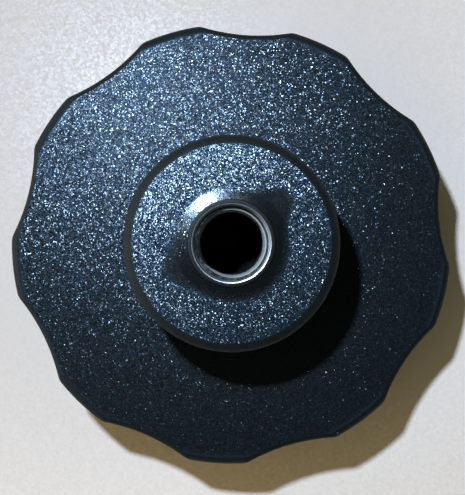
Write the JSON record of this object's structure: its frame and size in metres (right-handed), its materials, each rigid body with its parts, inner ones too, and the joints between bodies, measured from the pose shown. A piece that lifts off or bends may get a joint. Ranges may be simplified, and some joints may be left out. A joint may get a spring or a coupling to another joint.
{
  "type": "fluted handwheel",
  "caption": "Round moulded handwheel with shallow finger flutes, a raised boss and a blind threaded steel insert.",
  "frame": {"origin": "centre of the flat operator face that the wheel stands on", "axes": "+Z along the thread's axis towards the boss and the thread's mouth, +X through one crest of the rim"},
  "size_m": [0.0622, 0.063, 0.0353],
  "materials": {
    "wheel_body": "near-black blue, fine moulded grain, worn smooth round the insert",
    "threaded_insert": "turned, bright at the countersunk mouth"
  },
  "bodies": {
    "root": {"wheel_body": "wheel_body", "threaded_insert": "threaded_insert"}
  },
  "joints": []
}
